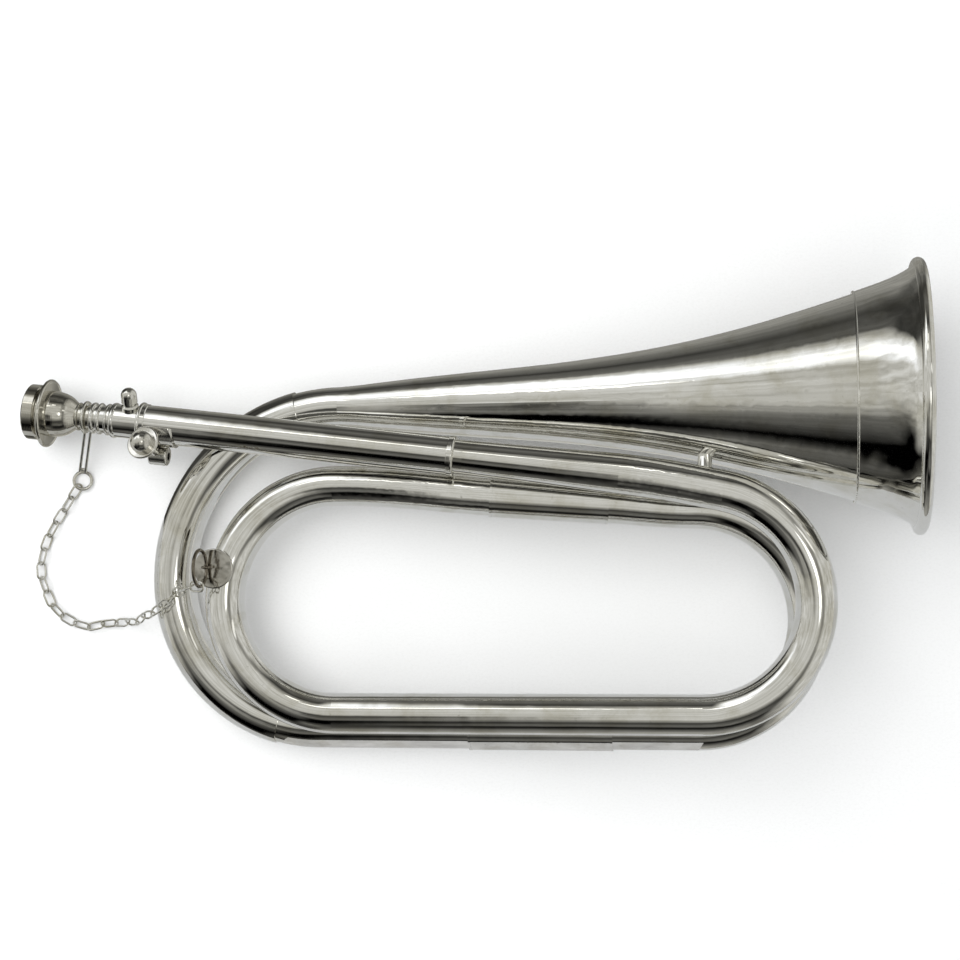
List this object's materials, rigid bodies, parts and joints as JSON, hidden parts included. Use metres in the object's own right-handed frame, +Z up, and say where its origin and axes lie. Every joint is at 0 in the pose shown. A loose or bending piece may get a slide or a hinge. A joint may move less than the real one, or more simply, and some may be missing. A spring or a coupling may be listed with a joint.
{
  "type": "bugle",
  "caption": "Plated double-coil field bugle lying flat: conical bell with rolled rim, tuning slide, cup mouthpiece, lyre socket with thumbscrew and a keeper chain.",
  "frame": {"origin": "on the table under the middle of the bounding box, with the bugle lying at rest on the rim of its bell and its outer left bow", "axes": "+X towards the bell along its longest extent, +Y across the coils towards the bell side, +Z up from the table"},
  "size_m": [0.4164, 0.2198, 0.1216],
  "materials": {
    "chain_plate": "bright plated wire",
    "mouthpiece_plate": "polished nickel plate",
    "bell_plate": "polished nickel plate, faintly hammered",
    "tube_plate": "polished nickel plate",
    "fitting_plate": "plated turned fittings",
    "solder": "dull soft solder"
  },
  "bodies": {
    "horn": {"front_coil_tube": "tube_plate", "leadpipe_sleeve": "tube_plate", "leadpipe_ferrule": "tube_plate", "sleeve_end_collar": "tube_plate", "lyre_saddle": "fitting_plate", "lyre_socket": "fitting_plate", "upper_joint_sleeve": "tube_plate", "upper_joint_ferrules": "tube_plate", "rear_right_bow": "tube_plate", "lower_joint_sleeve": "tube_plate", "lower_joint_ferrules": "tube_plate", "rear_bottom_tube": "tube_plate", "outer_left_bow": "tube_plate", "bell": "bell_plate", "bell_garland": "bell_plate", "bell_rim_wire": "bell_plate", "bell_brace": "tube_plate", "solder_joints": "solder", "anchor_disc": "fitting_plate", "anchor_eyelet": "fitting_plate"},
    "tuning_slide": {"tuning_slide_tube": "tube_plate", "mouthpiece_receiver": "tube_plate", "slide_pull_post": "fitting_plate"},
    "mouthpiece": {"mouthpiece": "mouthpiece_plate"},
    "collar": {"chain_collar": "chain_plate"},
    "lyre_screw": {"lyre_thumbscrew": "fitting_plate"},
    "ring": {"anchor_ring": "fitting_plate"},
    "link_01": {"chain_link_01": "chain_plate"},
    "link_02": {"chain_link_02": "chain_plate"},
    "link_03": {"chain_link_03": "chain_plate"},
    "link_04": {"chain_link_04": "chain_plate"},
    "link_05": {"chain_link_05": "chain_plate"},
    "link_06": {"chain_link_06": "chain_plate"},
    "link_07": {"chain_link_07": "chain_plate"},
    "link_08": {"chain_link_08": "chain_plate"},
    "link_09": {"chain_link_09": "chain_plate"},
    "link_10": {"chain_link_10": "chain_plate"},
    "link_11": {"chain_link_11": "chain_plate"},
    "link_12": {"chain_link_12": "chain_plate"},
    "link_13": {"chain_link_13": "chain_plate"},
    "link_14": {"chain_link_14": "chain_plate"},
    "link_15": {"chain_link_15": "chain_plate"},
    "link_16": {"chain_link_16": "chain_plate"},
    "link_17": {"chain_link_17": "chain_plate"},
    "link_18": {"chain_link_18": "chain_plate"},
    "link_19": {"chain_link_19": "chain_plate"},
    "link_20": {"chain_link_20": "chain_plate"},
    "link_21": {"chain_link_21": "chain_plate"},
    "link_22": {"chain_link_22": "chain_plate"},
    "link_23": {"chain_link_23": "chain_plate"},
    "link_24": {"chain_link_24": "chain_plate"},
    "end_ring": {"chain_end_ring": "chain_plate"}
  },
  "joints": [
    {"name": "tuning_slide_pull", "type": "slide", "parent": "horn", "child": "tuning_slide", "axis": [-0.9822, 0.1197, -0.1449], "range_m": [0, 0.03]},
    {"name": "mouthpiece_pull", "type": "slide", "parent": "tuning_slide", "child": "mouthpiece", "axis": [-0.9822, 0.1197, -0.1449], "range_m": [0, 0.035]},
    {"name": "collar_turn", "type": "hinge", "parent": "mouthpiece", "child": "collar", "pos_m": [-0.17901, 0.04561, 0.02438], "axis": [-0.9822, 0.1197, -0.1449], "range_deg": [-8, 75]},
    {"name": "lyre_screw_turn", "type": "hinge", "parent": "horn", "child": "lyre_screw", "pos_m": [-0.14485, 0.02738, 0.02627], "axis": [-0.3087, 0.3382, 0.889], "range_deg": [-15, 360]},
    {"name": "ring_swing", "type": "hinge", "parent": "horn", "child": "ring", "pos_m": [-0.12231, -0.02377, 0.04012], "axis": [0, 1, 0.0087], "range_deg": [-12, 10]},
    {"name": "link_01_level", "type": "hinge", "parent": "ring", "child": "link_01", "pos_m": [-0.12311, -0.03207, 0.04866], "axis": [0, 1, 0.0087], "range_deg": [-10, 12]},
    {"name": "link_02_swing", "type": "hinge", "parent": "link_01", "child": "link_02", "pos_m": [-0.12874, -0.03209, 0.04468], "axis": [0, 0, 1], "range_deg": [-2, 1]},
    {"name": "link_03_swing", "type": "hinge", "parent": "link_02", "child": "link_03", "pos_m": [-0.13343, -0.0337, 0.03988], "axis": [0, 0, 1], "range_deg": [-2, 1]},
    {"name": "link_04_swing", "type": "hinge", "parent": "link_03", "child": "link_04", "pos_m": [-0.13761, -0.036, 0.0349], "axis": [0, 0, 1], "range_deg": [-2, 1]},
    {"name": "link_05_swing", "type": "hinge", "parent": "link_04", "child": "link_05", "pos_m": [-0.14126, -0.0393, 0.03006], "axis": [0, 0, 1], "range_deg": [-2, 1]},
    {"name": "link_06_swing", "type": "hinge", "parent": "link_05", "child": "link_06", "pos_m": [-0.14544, -0.0424, 0.02553], "axis": [0, 0, 1], "range_deg": [-3, 3]},
    {"name": "link_07_swing", "type": "hinge", "parent": "link_06", "child": "link_07", "pos_m": [-0.15044, -0.04511, 0.02162], "axis": [0, 0, 1], "range_deg": [-3, 3]},
    {"name": "link_08_swing", "type": "hinge", "parent": "link_07", "child": "link_08", "pos_m": [-0.15501, -0.04754, 0.01706], "axis": [0, 0, 1], "range_deg": [-3, 3]},
    {"name": "link_09_swing", "type": "hinge", "parent": "link_08", "child": "link_09", "pos_m": [-0.15931, -0.0498, 0.01216], "axis": [0, 0, 1], "range_deg": [-3, 3]},
    {"name": "link_10_swing", "type": "hinge", "parent": "link_09", "child": "link_10", "pos_m": [-0.16429, -0.05065, 0.00746], "axis": [0, 0, 1], "range_deg": [-3, 4]},
    {"name": "link_11_swing", "type": "hinge", "parent": "link_10", "child": "link_11", "pos_m": [-0.17035, -0.05077, 0.00416], "axis": [0, 0, 1], "range_deg": [-3, 4]},
    {"name": "link_12_swing", "type": "hinge", "parent": "link_11", "child": "link_12", "pos_m": [-0.17702, -0.05162, 0.00261], "axis": [0, 0, 1], "range_deg": [-3, 4]},
    {"name": "link_13_swing", "type": "hinge", "parent": "link_12", "child": "link_13", "pos_m": [-0.18377, -0.05295, 0.0021], "axis": [0, 0, 1], "range_deg": [-3, 4]},
    {"name": "link_14_swing", "type": "hinge", "parent": "link_13", "child": "link_14", "pos_m": [-0.19039, -0.051, 0.0021], "axis": [0, 0, 1], "range_deg": [-3, 4]},
    {"name": "link_15_swing", "type": "hinge", "parent": "link_14", "child": "link_15", "pos_m": [-0.19628, -0.04741, 0.0021], "axis": [0, 0, 1], "range_deg": [-3, 4]},
    {"name": "link_16_swing", "type": "hinge", "parent": "link_15", "child": "link_16", "pos_m": [-0.20094, -0.04232, 0.0021], "axis": [0, 0, 1], "range_deg": [-3, 4]},
    {"name": "link_17_swing", "type": "hinge", "parent": "link_16", "child": "link_17", "pos_m": [-0.20352, -0.03592, 0.0021], "axis": [0, 0, 1], "range_deg": [-3, 4]},
    {"name": "link_18_swing", "type": "hinge", "parent": "link_17", "child": "link_18", "pos_m": [-0.20579, -0.0294, 0.0021], "axis": [0, 0, 1], "range_deg": [-3, 4]},
    {"name": "link_19_swing", "type": "hinge", "parent": "link_18", "child": "link_19", "pos_m": [-0.20609, -0.02251, 0.0021], "axis": [0, 0, 1], "range_deg": [-3, 4]},
    {"name": "link_20_swing", "type": "hinge", "parent": "link_19", "child": "link_20", "pos_m": [-0.20442, -0.01581, 0.0021], "axis": [0, 0, 1], "range_deg": [-3, 4]},
    {"name": "link_21_swing", "type": "hinge", "parent": "link_20", "child": "link_21", "pos_m": [-0.20198, -0.00936, 0.0021], "axis": [0, 0, 1], "range_deg": [-3, 4]},
    {"name": "link_22_swing", "type": "hinge", "parent": "link_21", "child": "link_22", "pos_m": [-0.19851, -0.00339, 0.0021], "axis": [0, 0, 1], "range_deg": [-3, 4]},
    {"name": "link_23_swing", "type": "hinge", "parent": "link_22", "child": "link_23", "pos_m": [-0.19482, 0.00244, 0.0021], "axis": [0, 0, 1], "range_deg": [-3, 4]},
    {"name": "link_24_swing", "type": "hinge", "parent": "link_23", "child": "link_24", "pos_m": [-0.19112, 0.00826, 0.0021], "axis": [0, 0, 1], "range_deg": [-3, 4]},
    {"name": "end_ring_swing", "type": "hinge", "parent": "link_24", "child": "end_ring", "pos_m": [-0.18738, 0.01406, 0.0021], "axis": [0, 0, 1], "range_deg": [-3, 4]}
  ],
  "couplings": [
    {"joint": "link_01_level", "follows": "ring_swing", "ratio": -1},
    {"joint": "link_07_swing", "follows": "link_06_swing", "ratio": 1},
    {"joint": "link_08_swing", "follows": "link_06_swing", "ratio": 1},
    {"joint": "link_09_swing", "follows": "link_06_swing", "ratio": 1},
    {"joint": "link_11_swing", "follows": "link_10_swing", "ratio": 1},
    {"joint": "link_12_swing", "follows": "link_10_swing", "ratio": 1},
    {"joint": "link_13_swing", "follows": "link_10_swing", "ratio": 1},
    {"joint": "link_15_swing", "follows": "link_14_swing", "ratio": 1},
    {"joint": "link_16_swing", "follows": "link_14_swing", "ratio": 1},
    {"joint": "link_17_swing", "follows": "link_14_swing", "ratio": 1},
    {"joint": "link_19_swing", "follows": "link_18_swing", "ratio": 1},
    {"joint": "link_20_swing", "follows": "link_18_swing", "ratio": 1},
    {"joint": "link_21_swing", "follows": "link_18_swing", "ratio": 1},
    {"joint": "link_23_swing", "follows": "link_22_swing", "ratio": 1},
    {"joint": "link_24_swing", "follows": "link_22_swing", "ratio": 1},
    {"joint": "end_ring_swing", "follows": "link_22_swing", "ratio": 1}
  ]
}
